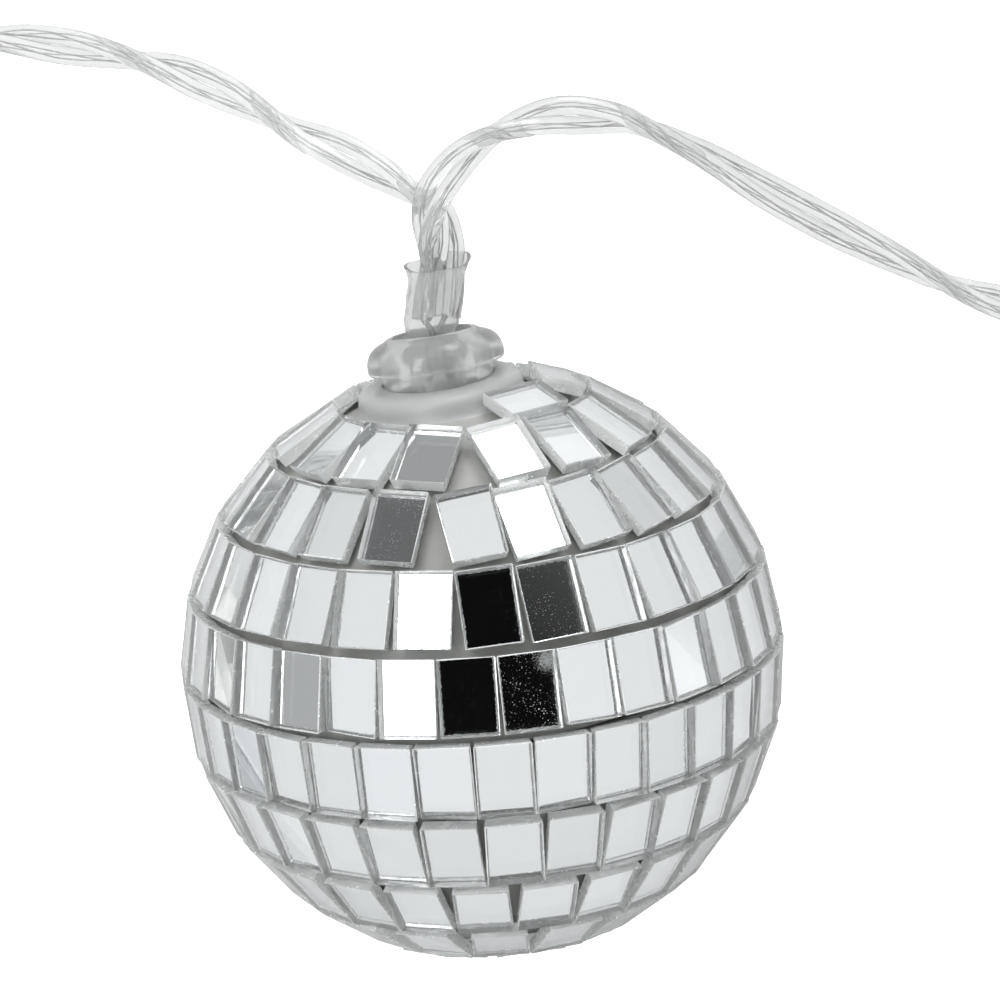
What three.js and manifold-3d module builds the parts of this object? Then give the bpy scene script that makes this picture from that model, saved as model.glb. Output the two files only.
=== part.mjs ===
// A small mirror ball on a twisted clear lead: one lamp of a light string, lying on its side.
// Millimetres, +Z up. The origin is the point where the ball's lowest mirror touches the table,
// and the neck points along +Y and up.

import * as THREE from 'three';
import { mergeVertices } from 'three/addons/utils/BufferGeometryUtils.js';
import Module from 'manifold-3d';

const wasm = await Module();
wasm.setup();

// Driving dimensions

const clearance = 0.3;

const ballFaceRadius = 24.6;
const mirrorThickness = 1.2;
const mirrorWidth = 4.3;
const mirrorHeight = 6;
const mirrorRowGap = 0.49;
const mirrorOverlap = 0.03;
const stripGap = 0.3;
const restingRowLatitude = -21.3;
const rowTilt = 4.3;

const shellWall = 1.5;
const shellGap = 0.4;
const seamSpigotHeight = 3;
const seamSpigotWall = 1;

const bossWall = 1.2;
const bossRise = 1.1;
const bossDepth = 3.2;

const grommetWall = 1.45;
const grommetNeckStep = 0.65;
const grommetNeckHeight = 0.7;
const grommetFit = 0.35;
const lipHeight = 2.6;
const lipBulge = 0.35;
const lipClearance = 1;
const snapRimStep = 0.75;
const snapRimHeight = 1;
const grommetSkirt = 1.2;

const ledRadius = 2.5;
const ledFlangeStep = 0.25;
const ledFlangeHeight = 1;
const ledBodyHeight = 5.4;
const ledSetback = 2.9;
const legSpacing = 2.54;
const legWidth = 0.5;
const legLength = 4;
const ferruleRadius = 0.75;
const ferruleLength = 3;
const wireRadius = 0.75;
const wireGap = 0.2;
const wireReachBeyondSleeve = 2;
const sleeveWall = 0.3;
const sleeveLength = 11.5;
const sleeveTilt = 3.4;

const cordDiameter = 3.2;
const cordSides = 8;
const coilCentre = new THREE.Vector2(-64, 44.5);
const coilMeanRadius = 17.5;
const coilSlack = 0.2;
const tieWidth = 3;
const tieThickness = 0.6;
const endCapWall = 0.6;
const endCapLength = 12;

const plugShellWidth = 12;
const plugShellHeight = 4.5;
const plugShellWall = 0.3;
const plugShellLength = 12;
const plugTongueThickness = 1.6;
const plugContactWidth = 1.1;
const plugContactPitch = 2.3;
const plugBodyWidth = 15.6;
const plugBodyHeight = 8;
const plugBodyLength = 23;
const plugReliefLength = 12;

// Routes of the two leads where they aren't coiled, from beside the sleeve's mouth outwards

const feedRoute = [
  [2.5, 35.1, 35.9],
  [1.7, 36.1, 35.9],
  [0.5, 37.1, 35.9],
  [-1.2, 38.7, 35.8],
  [-4.7, 41.7, 35.0],
  [-7.6, 44.0, 33.8],
  [-11.1, 47.4, 31.6],
  [-14.4, 50.4, 29.0],
  [-17.8, 53.3, 26.0],
  [-21.8, 55.9, 22.2],
  [-25.9, 58.3, 18.0],
  [-31.1, 61.1, 13.0],
  [-36.5, 62.6, 8.5],
  [-42.0, 63.6, 5.2],
  [-47.5, 64.0, 3.1],
  [-51.8, 64.0, 2.2],
];

const tailRoute = [
  [-78.9, 62.2, 3.6],
  [-82.9, 57.8, 2.5],
  [-85.7, 52.4, 1.8],
  [-87.0, 46.5, 1.6],
  [-86.8, 40.5, 1.6],
  [-84.9, 34.7, 1.8],
  [-82.5, 30.6, 2.5],
  [-79.9, 27.2, 3.3],
  [-78.6, 25.0, 3.8],
  [-78.3, 22.8, 4.0],
];

const runOnRoute = [
  [1.1, 34.7, 39.1],
  [1.7, 35.8, 39.8],
  [2.4, 36.7, 40.2],
  [3.4, 37.6, 40.4],
  [4.6, 38.5, 40.5],
  [6.1, 39.3, 40.5],
  [7.9, 40.0, 40.4],
  [10.4, 40.5, 40.2],
  [12.9, 40.6, 39.9],
  [16.1, 40.1, 39.1],
  [18.9, 39.3, 38.1],
  [24.1, 36.6, 35.2],
  [29.0, 33.6, 31.5],
  [32.8, 31.5, 28.3],
  [36.8, 29.5, 24.6],
  [41.4, 27.3, 20.3],
  [46.1, 25.1, 16.0],
  [51.0, 23.5, 12.0],
  [55.8, 22.1, 8.3],
  [60.0, 21.0, 5.1],
  [63.6, 20.3, 3.0],
  [67.6, 20.0, 2.2],
];

// Worked-out sizes

const turn = 2 * Math.PI;
const mirrorBackRadius = ballFaceRadius - mirrorThickness;
const shellRadius = mirrorBackRadius - shellGap;
const rowPitch = THREE.MathUtils.radToDeg((mirrorHeight + mirrorRowGap) / mirrorBackRadius);
const halfRow = THREE.MathUtils.radToDeg(Math.atan(mirrorHeight / 2 / mirrorBackRadius));

const ledFlangeRadius = ledRadius + ledFlangeStep;
const ledBoreRadius = ledFlangeRadius + grommetFit;
const grommetTubeRadius = ledBoreRadius + grommetWall;
const grommetNeckRadius = grommetTubeRadius + grommetNeckStep;
const snapRimRadius = grommetTubeRadius + snapRimStep;
const boreRadius = grommetTubeRadius + grommetFit;
const bossRadius = boreRadius + bossWall;
const bossHeight = shellRadius + bossRise;
const bossFloor = bossHeight - bossDepth;
const lipBase = bossHeight + clearance + grommetNeckHeight;
const ledBaseHeight = bossHeight - ledSetback;

const wireSpacing = 2 * wireRadius + wireGap;
const wireReach = wireSpacing / Math.SQRT2 + wireRadius;
const ferruleReach = legSpacing / 2 + ferruleRadius;
const sleeveRadius = Math.max(wireReach, ferruleReach) + clearance + sleeveWall;
const lipBoreRadius = sleeveRadius + lipClearance;

const coilInnerRadius = coilMeanRadius - cordDiameter - coilSlack;
const coilOuterRadius = coilMeanRadius + cordDiameter + coilSlack;
const coilHeight = 1.85 * cordDiameter;
const endCapRadius = cordDiameter / 2 + endCapWall;
const plugAxisHeight = plugBodyHeight / 2;

// Rows of mirrors are counted up and down from the one that the ball rests on, as far as the boss
// at the neck and the pair of mirrors that closes the bottom

const baseReach = Math.hypot(mirrorWidth + clearance / 2, mirrorHeight / 2);
const baseTurn = THREE.MathUtils.radToDeg(Math.asin(baseReach / mirrorBackRadius));
const bossTurn = THREE.MathUtils.radToDeg(Math.asin(bossRadius / mirrorBackRadius)) + rowTilt;
const rowsAbove = Math.floor((90 - bossTurn - halfRow - restingRowLatitude) / rowPitch);
const rowsBelow = Math.floor((90 - baseTurn - halfRow + restingRowLatitude) / rowPitch);

// The turn in degrees of the mirror that each row starts from, by the row's place above the
// resting row, and the rows with a wide gap where their ends meet

const rowStarts = { 5: 11.25, 4: -3.25, 3: -1.25, 2: 4.75, 1: -1, '-1': -7.75, '-2': -4.75, '-3': 10 };
const seamTurn = 1;
const wideSeamTurn = 3;
const wideSeamRows = [5, 4, -3];
const stripsPerRow = 2;

// Two mirrors lie sideways in the space between the top row and the boss, where the tilt of the
// rows leaves room for them

const crownWidth = 6;
const crownMargin = 1.5;
const crownTurns = [36, 96];
const crownOuterTurn = 90 - restingRowLatitude - rowsAbove * rowPitch - halfRow - crownMargin;
const crownTiltRoom = rowTilt * Math.sin(THREE.MathUtils.degToRad(crownTurns[0]));
const bossEdgeTurn = THREE.MathUtils.radToDeg(Math.asin((bossRadius + clearance) / mirrorBackRadius));
const crownInnerTurn = bossEdgeTurn - crownTiltRoom;
const crownHalfTurn = THREE.MathUtils.degToRad((crownOuterTurn - crownInnerTurn) / 2);
const crownHeight = 2 * mirrorBackRadius * Math.tan(crownHalfTurn);
const crownLatitude = 90 - (crownOuterTurn + crownInnerTurn) / 2;

// Materials

const material = (color, roughness, metalness = 0, opacity = 1) =>
  new THREE.MeshStandardMaterial({ color, roughness, metalness, opacity, transparent: opacity < 1 });

const mirrorGlass = () => material(0xdfe3e3, 0.05, 0.9);
const shellPlastic = () => material(0x9a9b92, 0.4, 0, 0.8);
const frostedPlastic = () => material(0xc9cdc8, 0.45, 0, 0.7);
const lensPlastic = () => material(0xf0f2f2, 0.05, 0, 0.5);
const milkyPlastic = () => material(0xd8dcd8, 0.35, 0, 0.6);
const clearPlastic = () => material(0xdadcdb, 0.1, 0, 0.5);
const tinnedMetal = () => material(0x8d8d88, 0.35, 1);
const plugMetal = () => material(0xb9bbbd, 0.25, 1);
const goldMetal = () => material(0xc9a24a, 0.3, 1);
const whitePlastic = () => material(0xf1f1ee, 0.4);

// Solids and meshes

function toSolid(geometry) {
  const bare = geometry.index ? geometry.toNonIndexed() : geometry.clone();
  bare.deleteAttribute('normal');
  bare.deleteAttribute('uv');
  const merged = mergeVertices(bare, 1e-4);
  const vertProperties = new Float32Array(merged.attributes.position.array);
  const triVerts = new Uint32Array(merged.index.array);
  return new wasm.Manifold(new wasm.Mesh({ numProp: 3, vertProperties, triVerts }));
}

function toGeometry(solid) {
  const cut = solid.getMesh();
  const geometry = new THREE.BufferGeometry();
  geometry.setAttribute('position', new THREE.BufferAttribute(new Float32Array(cut.vertProperties), 3));
  geometry.setIndex(new THREE.BufferAttribute(new Uint32Array(cut.triVerts), 1));
  geometry.computeVertexNormals();
  return geometry;
}

function mesh(name, geometry, surface) {
  const piece = new THREE.Mesh(geometry, surface);
  piece.name = name;
  return piece;
}

// A solid of revolution about Z, from a profile of [radius, height] pairs going anticlockwise
function revolve(profile, segments) {
  const points = profile.map(([radius, height]) => new THREE.Vector2(radius, height));
  const onAxis = profile[0][0] === 0 && profile[profile.length - 1][0] === 0;
  if (!onAxis) {
    points.push(points[0].clone());
  }
  return new THREE.LatheGeometry(points, segments).rotateX(Math.PI / 2);
}

function arc(radius, fromDegrees, toDegrees, steps) {
  const points = [];
  for (let step = 0; step <= steps; step += 1) {
    const angle = THREE.MathUtils.degToRad(fromDegrees + ((toDegrees - fromDegrees) * step) / steps);
    points.push([radius * Math.cos(angle), radius * Math.sin(angle)]);
  }
  return points;
}

// The shell's two halves: the upper one carries the neck boss, the lower one the seam's spigot

function upperShell() {
  const innerRadius = shellRadius - shellWall;
  const seam = THREE.MathUtils.radToDeg(Math.asin(clearance / 2 / shellRadius));
  const bossFoot = THREE.MathUtils.radToDeg(Math.acos(bossRadius / shellRadius));
  const recessRadius = snapRimRadius + clearance;
  const recessTurn = THREE.MathUtils.radToDeg(Math.acos(recessRadius / innerRadius));
  const chamfer = 0.5;
  const profile = [
    ...arc(shellRadius, seam, bossFoot, 8),
    [bossRadius, bossHeight - chamfer],
    [bossRadius - chamfer, bossHeight],
    [boreRadius, bossHeight],
    [boreRadius, bossFloor],
    [recessRadius, bossFloor],
    ...arc(innerRadius, recessTurn, seam, 8),
  ];
  return mesh('shell_upper', revolve(profile, 24), shellPlastic());
}

function lowerShell() {
  const innerRadius = shellRadius - shellWall;
  const spigotRadius = innerRadius - clearance;
  const seam = THREE.MathUtils.radToDeg(Math.asin(clearance / 2 / shellRadius));
  const spigotFoot = -4;
  const spigotInner = spigotRadius - seamSpigotWall;
  const footTurn = THREE.MathUtils.radToDeg(Math.acos(spigotInner / innerRadius));
  const outside = arc(shellRadius, -90, -seam, 9);
  outside[0][0] = 0;
  const inside = arc(innerRadius, -footTurn - 1, -90, 8);
  inside[inside.length - 1][0] = 0;
  const profile = [
    ...outside,
    [spigotRadius, -clearance / 2],
    [spigotRadius, seamSpigotHeight],
    [spigotInner, seamSpigotHeight],
    [spigotInner, spigotFoot],
    ...inside,
  ];
  return mesh('shell_lower', revolve(profile, 24), shellPlastic());
}

// Mirrors: flat glass blocks whose back edges meet along a row

function mirrorBlock(width, height, latitude, longitude) {
  const block = new THREE.BoxGeometry(width, mirrorThickness, height);
  block.translate(0, -(mirrorBackRadius + mirrorThickness / 2), 0);
  block.rotateX(THREE.MathUtils.degToRad(-latitude));
  block.rotateZ(THREE.MathUtils.degToRad(longitude));
  return toSolid(block);
}

// The row's radius at the edge of the mirrors' backs that is nearest to the ball's axis
function narrowEdgeRadius(latitude) {
  const angle = THREE.MathUtils.degToRad(Math.abs(latitude));
  return mirrorBackRadius * Math.cos(angle) - (mirrorHeight / 2) * Math.sin(angle);
}

// One row, level rows above the resting row, whose mirror at the back faces straight down
function mirrorRow(level) {
  const latitude = restingRowLatitude + level * rowPitch;
  const radius = narrowEdgeRadius(latitude);
  const seam = wideSeamRows.includes(level) ? wideSeamTurn : seamTurn;
  const mirrorTurn = THREE.MathUtils.radToDeg(2 * Math.atan(mirrorWidth / 2 / radius));
  const stripTurn = THREE.MathUtils.radToDeg((stripGap + 2 * mirrorOverlap) / radius);
  const freeTurn = 360 - seam - stripsPerRow * stripTurn;
  const count = Math.floor(freeTurn / mirrorTurn);
  const pitch = freeTurn / count;
  const width = 2 * radius * Math.tan(THREE.MathUtils.degToRad(pitch / 2)) + 2 * mirrorOverlap;
  const perStrip = Math.ceil(count / stripsPerRow);
  const turnOf = (index) => index * pitch + Math.floor(index / perStrip) * stripTurn;
  const restingStart = 180 - turnOf(Math.floor(count / 2));
  const first = level === 0 ? restingStart : (rowStarts[level] ?? 0);

  const pieces = [];
  for (let strip = 0; strip < stripsPerRow; strip += 1) {
    let solid = null;
    const end = Math.min((strip + 1) * perStrip, count);
    for (let index = strip * perStrip; index < end; index += 1) {
      const block = mirrorBlock(width, mirrorHeight, latitude, first + turnOf(index));
      solid = solid ? solid.add(block) : block;
    }
    const name = `mirror_row_${rowsAbove - level + 1}_strip_${strip + 1}`;
    pieces.push(mesh(name, toGeometry(solid), mirrorGlass()));
  }
  return pieces;
}

function crownMirrors() {
  return crownTurns.map((longitude, index) => {
    const block = mirrorBlock(crownWidth, crownHeight, crownLatitude, longitude);
    return mesh(`mirror_crown_${index + 1}`, toGeometry(block), mirrorGlass());
  });
}

function baseMirrors() {
  const spread = mirrorWidth / 2 + clearance / 2;
  return [-spread, spread].map((offset, index) => {
    const block = new THREE.BoxGeometry(mirrorWidth, mirrorHeight, mirrorThickness);
    const piece = mesh(`mirror_base_${index + 1}`, block, mirrorGlass());
    piece.position.set(offset, 0, -(mirrorBackRadius + mirrorThickness / 2));
    return piece;
  });
}

// The frosted grommet: lip outside the ball, tube through the boss and snap rim inside the ball

function grommet() {
  const shoulder = bossHeight + clearance;
  const rimTop = bossFloor - clearance;
  const rimBottom = rimTop - snapRimHeight;
  const foot = rimBottom - grommetSkirt;
  const lipMiddle = lipBase + lipHeight / 2;
  const lipWallMiddle = (grommetNeckRadius + lipBulge + lipBoreRadius) / 2;
  const lipHalfWall = grommetNeckRadius + lipBulge - lipWallMiddle;
  const lip = [];
  for (let step = 0; step <= 8; step += 1) {
    const angle = THREE.MathUtils.degToRad(-40 + (220 * step) / 8);
    const radius = lipWallMiddle + lipHalfWall * Math.cos(angle);
    lip.push([radius, lipMiddle + (lipHeight / 2) * Math.sin(angle)]);
  }
  const profile = [
    [ledBoreRadius, foot],
    [grommetTubeRadius, foot],
    [snapRimRadius, rimBottom],
    [snapRimRadius, rimTop],
    [grommetTubeRadius, rimTop],
    [grommetTubeRadius, shoulder],
    [grommetNeckRadius, shoulder],
    [grommetNeckRadius, lipBase],
    ...lip,
    [lipBoreRadius, shoulder],
    [ledBoreRadius, ledBaseHeight + clearance],
  ];
  return mesh('grommet', revolve(profile, 20), frostedPlastic());
}

// The lamp: lens, legs, ferrules, wire ends and the shrunk sleeve round them

function led() {
  const flangeBottom = ledBaseHeight - ledFlangeHeight;
  const domeHeight = flangeBottom - ledBodyHeight;
  const dome = arc(ledRadius, -90, 0, 5).map(([radius, height]) => [radius, domeHeight + height]);
  dome[0][0] = 0;
  const profile = [
    ...dome,
    [ledRadius, flangeBottom],
    [ledFlangeRadius, flangeBottom],
    [ledFlangeRadius, ledBaseHeight],
    [0, ledBaseHeight],
  ];
  return mesh('led_lens', revolve(profile, 16), lensPlastic());
}

function post(name, radius, length, sides, x, y, bottom, surface) {
  const geometry = new THREE.CylinderGeometry(radius, radius, length, sides).rotateX(Math.PI / 2);
  const piece = mesh(name, geometry, surface);
  piece.position.set(x, y, bottom + length / 2);
  return piece;
}

function lampTail() {
  const tail = new THREE.Group();
  const ferruleBottom = clearance + legLength + clearance;
  const wireBottom = ferruleBottom + ferruleLength + clearance;
  const sleeveBottom = 2 * clearance;
  const sleeveTop = sleeveBottom + sleeveLength;

  [-1, 1].forEach((side, index) => {
    const x = (side * legSpacing) / 2;
    const leg = mesh(`led_leg_${index + 1}`, new THREE.BoxGeometry(legWidth, legWidth, legLength), tinnedMetal());
    leg.position.set(x, 0, clearance + legLength / 2);
    tail.add(leg);
    const name = `crimp_ferrule_${index + 1}`;
    tail.add(post(name, ferruleRadius, ferruleLength, 8, x, 0, ferruleBottom, tinnedMetal()));
  });

  const corners = [[-1, -1], [1, -1], [-1, 1], [1, 1]];
  corners.forEach(([across, along], index) => {
    const x = (across * wireSpacing) / 2;
    const y = (along * wireSpacing) / 2;
    const length = sleeveTop + wireReachBeyondSleeve - wireBottom;
    tail.add(post(`wire_end_${index + 1}`, wireRadius, length, 8, x, y, wireBottom, clearPlastic()));
  });

  const sleeveProfile = [
    [sleeveRadius - sleeveWall, sleeveBottom],
    [sleeveRadius, sleeveBottom],
    [sleeveRadius, sleeveTop],
    [sleeveRadius - sleeveWall, sleeveTop],
  ];
  tail.add(mesh('shrink_sleeve', revolve(sleeveProfile, 16), milkyPlastic()));

  tail.position.set(0, 0, ledBaseHeight);
  tail.rotation.y = THREE.MathUtils.degToRad(sleeveTilt);
  return tail;
}

// The leads: each is two clear strands twisted together, kept here as one round tube

function cordTube(name, route) {
  const points = route.map(([x, y, z]) => new THREE.Vector3(x, y, z));
  const path = new THREE.CatmullRomCurve3(points, false, 'centripetal');
  const section = new THREE.Shape();
  for (let side = 0; side < cordSides; side += 1) {
    const angle = (side * turn) / cordSides;
    const x = (cordDiameter / 2) * Math.cos(angle);
    const y = (cordDiameter / 2) * Math.sin(angle);
    if (side === 0) {
      section.moveTo(x, y);
    } else {
      section.lineTo(x, y);
    }
  }
  section.closePath();
  const steps = Math.ceil(path.getLength() / (2 * cordDiameter));
  const tube = new THREE.ExtrudeGeometry(section, { steps, extrudePath: path });
  return mesh(name, tube, clearPlastic());
}

// The coil, with a flat under it where the tie passes
function coil() {
  const edge = 0.25 * cordDiameter;
  const profile = [
    [coilInnerRadius + edge, 0],
    [coilOuterRadius - edge, 0],
    [coilOuterRadius, edge],
    [coilOuterRadius, coilHeight - edge],
    [coilOuterRadius - edge, coilHeight],
    [coilInnerRadius + edge, coilHeight],
    [coilInnerRadius, coilHeight - edge],
    [coilInnerRadius, edge],
  ];
  const ring = revolve(profile, 32);
  const recess = new THREE.BoxGeometry(
    tieWidth + 2 * clearance,
    4 * cordDiameter,
    2 * (tieThickness + clearance),
  );
  recess.translate(0, -coilMeanRadius, 0);
  const piece = mesh('feed_cord_coil', toGeometry(toSolid(ring).subtract(toSolid(recess))), clearPlastic());
  piece.position.set(coilCentre.x, coilCentre.y, 0);
  return piece;
}

function coilTie() {
  const innerWidth = coilOuterRadius - coilInnerRadius + 2 * clearance;
  const innerHeight = coilHeight - tieThickness + clearance;
  const outerWidth = innerWidth + 2 * tieThickness;
  const outerHeight = innerHeight + 2 * tieThickness;
  const outer = new THREE.BoxGeometry(tieWidth, outerWidth, outerHeight);
  const inner = new THREE.BoxGeometry(2 * tieWidth, innerWidth, innerHeight);
  const piece = mesh('coil_tie', toGeometry(toSolid(outer).subtract(toSolid(inner))), whitePlastic());
  piece.position.set(coilCentre.x, coilCentre.y - coilMeanRadius, outerHeight / 2);
  return piece;
}

function endCap() {
  const round = 0.6;
  const profile = [
    [0, 0],
    [endCapRadius, 0],
    [endCapRadius, endCapLength - round],
    [endCapRadius - round, endCapLength],
    [0, endCapLength],
  ];
  const piece = mesh('run_on_end_cap', revolve(profile, 16), milkyPlastic());
  const [x, y] = runOnRoute[runOnRoute.length - 1];
  piece.rotation.y = Math.PI / 2;
  piece.position.set(x + clearance, y, endCapRadius);
  return piece;
}

// The plug at the feed cord's end, pointing along -Y

function roundedPlate(width, height, corner) {
  const outline = new THREE.Shape();
  const x = width / 2 - corner;
  const y = height / 2 - corner;
  outline.absarc(x, y, corner, 0, turn / 4);
  outline.absarc(-x, y, corner, turn / 4, turn / 2);
  outline.absarc(-x, -y, corner, turn / 2, (3 * turn) / 4);
  outline.absarc(x, -y, corner, (3 * turn) / 4, turn);
  return outline;
}

function slab(outline, length) {
  return new THREE.ExtrudeGeometry(outline, { depth: length, bevelEnabled: false, curveSegments: 4 });
}

function cordPlug() {
  const plug = new THREE.Group();
  const bodyStart = clearance + plugReliefLength + clearance;
  const shellStart = bodyStart + plugBodyLength + clearance;
  const wallInside = plugShellWall + clearance;

  const reliefProfile = [
    [0, 0],
    [0.75 * cordDiameter, 0],
    [0.42 * plugBodyHeight, plugReliefLength],
    [0, plugReliefLength],
  ];
  const relief = mesh('plug_strain_relief', revolve(reliefProfile, 12), whitePlastic());
  relief.position.z = clearance;
  plug.add(relief);

  const body = mesh('plug_body', slab(roundedPlate(plugBodyWidth, plugBodyHeight, 1.6), plugBodyLength), whitePlastic());
  body.position.z = bodyStart;
  plug.add(body);

  const tube = roundedPlate(plugShellWidth, plugShellHeight, 0.5);
  tube.holes.push(roundedPlate(plugShellWidth - 2 * plugShellWall, plugShellHeight - 2 * plugShellWall, 0.2));
  const shell = mesh('plug_shell', slab(tube, plugShellLength), plugMetal());
  shell.position.z = shellStart;
  plug.add(shell);

  const tongueWidth = plugShellWidth - 2 * wallInside;
  const tongueLength = plugShellLength - 1;
  const tongueTop = plugShellHeight / 2 - wallInside;
  const tongueBox = new THREE.BoxGeometry(tongueWidth, plugTongueThickness, tongueLength);
  const tongue = mesh('plug_tongue', tongueBox, whitePlastic());
  tongue.position.set(0, tongueTop - plugTongueThickness / 2, shellStart + tongueLength / 2);
  plug.add(tongue);

  for (let index = 0; index < 4; index += 1) {
    const contactLength = tongueLength - 2;
    const contactBox = new THREE.BoxGeometry(plugContactWidth, plugShellWall, contactLength);
    const contact = mesh(`plug_contact_${index + 1}`, contactBox, goldMetal());
    const y = tongueTop - plugTongueThickness - clearance - plugShellWall / 2;
    contact.position.set((index - 1.5) * plugContactPitch, y, shellStart + tongueLength / 2);
    plug.add(contact);
  }

  const [x, y] = tailRoute[tailRoute.length - 1];
  plug.rotation.x = Math.PI / 2;
  plug.position.set(x, y, plugAxisHeight);
  return plug;
}

// Assembly

// In the neck's frame +Z runs out through the neck and -Y faces up from the table
const tilt = THREE.MathUtils.degToRad(rowTilt);
const restAngle = THREE.MathUtils.degToRad(restingRowLatitude);
const neckLift = -Math.asin(Math.cos(tilt) * Math.sin(restAngle));
const ballRoll = Math.atan2(Math.sin(tilt) * Math.sin(restAngle), Math.cos(restAngle));

const mirrors = new THREE.Group();
for (let level = rowsAbove; level >= -rowsBelow; level -= 1) {
  mirrors.add(...mirrorRow(level));
}
mirrors.add(...crownMirrors());
mirrors.add(...baseMirrors());
mirrors.rotation.y = tilt;

const ball = new THREE.Group();
ball.add(upperShell());
ball.add(lowerShell());
ball.add(mirrors);
ball.rotation.z = ballRoll;

const alongNeck = new THREE.Group();
alongNeck.add(ball);
alongNeck.add(grommet());
alongNeck.add(led());
alongNeck.add(lampTail());
alongNeck.rotation.x = neckLift - Math.PI / 2;
alongNeck.position.z = ballFaceRadius;

const mirrorBallLamp = new THREE.Group();
mirrorBallLamp.add(alongNeck);
mirrorBallLamp.add(cordTube('feed_cord', feedRoute));
mirrorBallLamp.add(coil());
mirrorBallLamp.add(coilTie());
mirrorBallLamp.add(cordTube('feed_cord_tail', tailRoute));
mirrorBallLamp.add(cordPlug());
mirrorBallLamp.add(cordTube('run_on_cord', runOnRoute));
mirrorBallLamp.add(endCap());

export default mirrorBallLamp;
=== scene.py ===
import math
import random

import bpy
from mathutils import Matrix, Vector, noise


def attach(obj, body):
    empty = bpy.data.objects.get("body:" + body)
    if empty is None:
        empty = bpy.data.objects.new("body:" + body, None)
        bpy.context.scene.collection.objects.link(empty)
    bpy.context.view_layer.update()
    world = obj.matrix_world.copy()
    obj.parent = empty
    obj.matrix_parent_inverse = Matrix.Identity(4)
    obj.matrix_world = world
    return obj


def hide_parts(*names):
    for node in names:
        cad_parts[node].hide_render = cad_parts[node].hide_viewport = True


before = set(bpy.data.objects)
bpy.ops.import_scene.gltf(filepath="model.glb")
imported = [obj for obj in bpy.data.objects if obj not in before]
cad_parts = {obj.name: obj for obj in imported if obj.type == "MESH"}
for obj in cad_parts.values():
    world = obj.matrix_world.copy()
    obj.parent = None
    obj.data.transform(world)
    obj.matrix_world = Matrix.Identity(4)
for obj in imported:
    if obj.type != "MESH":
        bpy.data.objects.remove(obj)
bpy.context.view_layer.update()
mm = 0.001
print("frame loaded:", len(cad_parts), "nodes")

ballLayout = {
    "faceRadius": 24.6,  # centre of the ball to a mirror's face, in mm like the rest
    "backRadius": 23.4,
    "shellRadius": 23.0,
    "restingLatitude": -21.3,  # the row whose back mirror lies on the table, in degrees
    "rowTilt": 4.3,  # the rows lean this much to one side of the neck
    "rowPitch": 15.891,
}


def ballMatrices(layout):
    # the neck's frame has +Z out through the neck and -Y up from the table; the rows lean in it
    tilt = math.radians(layout["rowTilt"])
    rest = math.radians(layout["restingLatitude"])
    lift = -math.asin(math.cos(tilt) * math.sin(rest))
    roll = math.atan2(math.sin(tilt) * math.sin(rest), math.cos(rest))
    centre = Matrix.Translation((0, 0, layout["faceRadius"] * mm))
    neck = centre @ Matrix.Rotation(lift - math.pi / 2, 4, "X")
    rows = neck @ Matrix.Rotation(roll, 4, "Z") @ Matrix.Rotation(tilt, 4, "Y")
    return neck, rows


neckMatrix, rowMatrix = ballMatrices(ballLayout)
ballCentre = neckMatrix.translation.copy()


def outward(latitude, longitude):
    # the direction of a place on the ball, in the rows' frame, as the world sees it
    lat = math.radians(latitude)
    lon = math.radians(longitude)
    local = Vector((math.cos(lat) * math.sin(lon), -math.cos(lat) * math.cos(lon), math.sin(lat)))
    return rowMatrix.to_3x3() @ local


def deselect():
    bpy.ops.object.select_all(action="DESELECT")


# camera

cameraSetup = {
    "latitude": 17.5,  # where the camera stands over the ball, in the rows' frame
    "longitude": -3.25,
    "distance": 300.0,
    "neckLean": 9.0,  # the neck leans left by this much as the camera sees it
    "aimRight": 1.41,
    "aimUp": 12.99,
    "lens": 130.6,
    "sensorWidth": 36,
    "clipStart": 0.01,  # in metres
    "clipEnd": 20,
}


def placeCamera(setup):
    toCamera = outward(setup["latitude"], setup["longitude"])
    neckAxis = neckMatrix.to_3x3() @ Vector((0, 0, 1))
    neckUp = (neckAxis - toCamera * neckAxis.dot(toCamera)).normalized()
    neckRight = neckUp.cross(toCamera)
    lean = math.radians(setup["neckLean"])
    up = neckUp * math.cos(lean) + neckRight * math.sin(lean)
    right = up.cross(toCamera)
    place = ballCentre + toCamera * setup["distance"] * mm
    target = ballCentre + (right * setup["aimRight"] + up * setup["aimUp"]) * mm
    back = (place - target).normalized()
    across = up.cross(back).normalized()
    above = back.cross(across)
    deselect()
    bpy.ops.object.camera_add(location=place)
    camera = bpy.context.object
    camera.name = "camera"
    camera.rotation_mode = "QUATERNION"
    camera.rotation_quaternion = Matrix((across, above, back)).transposed().to_quaternion()
    camera.data.lens = setup["lens"]
    camera.data.sensor_width = setup["sensorWidth"]
    camera.data.clip_start = setup["clipStart"]
    camera.data.clip_end = setup["clipEnd"]
    bpy.context.scene.camera = camera
    return across, above, back


cameraRight, cameraUp, cameraBack = placeCamera(cameraSetup)
print("camera placed")


# helpers for materials and modelling

def newMaterial(name, **values):
    material = bpy.data.materials.new(name)
    material.use_nodes = True
    shader = material.node_tree.nodes["Principled BSDF"]
    for socket, value in values.items():
        shader.inputs[socket.replace("_", " ")].default_value = value
    return material, material.node_tree.nodes, material.node_tree.links, shader


def addNode(nodes, kind, **settings):
    node = nodes.new(kind)
    for key, value in settings.items():
        if hasattr(node, key):
            setattr(node, key, value)
        else:
            node.inputs[key.replace("_", " ")].default_value = value
    return node


def objectCoordinates(nodes):
    return nodes.new("ShaderNodeTexCoord").outputs["Object"]


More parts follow.
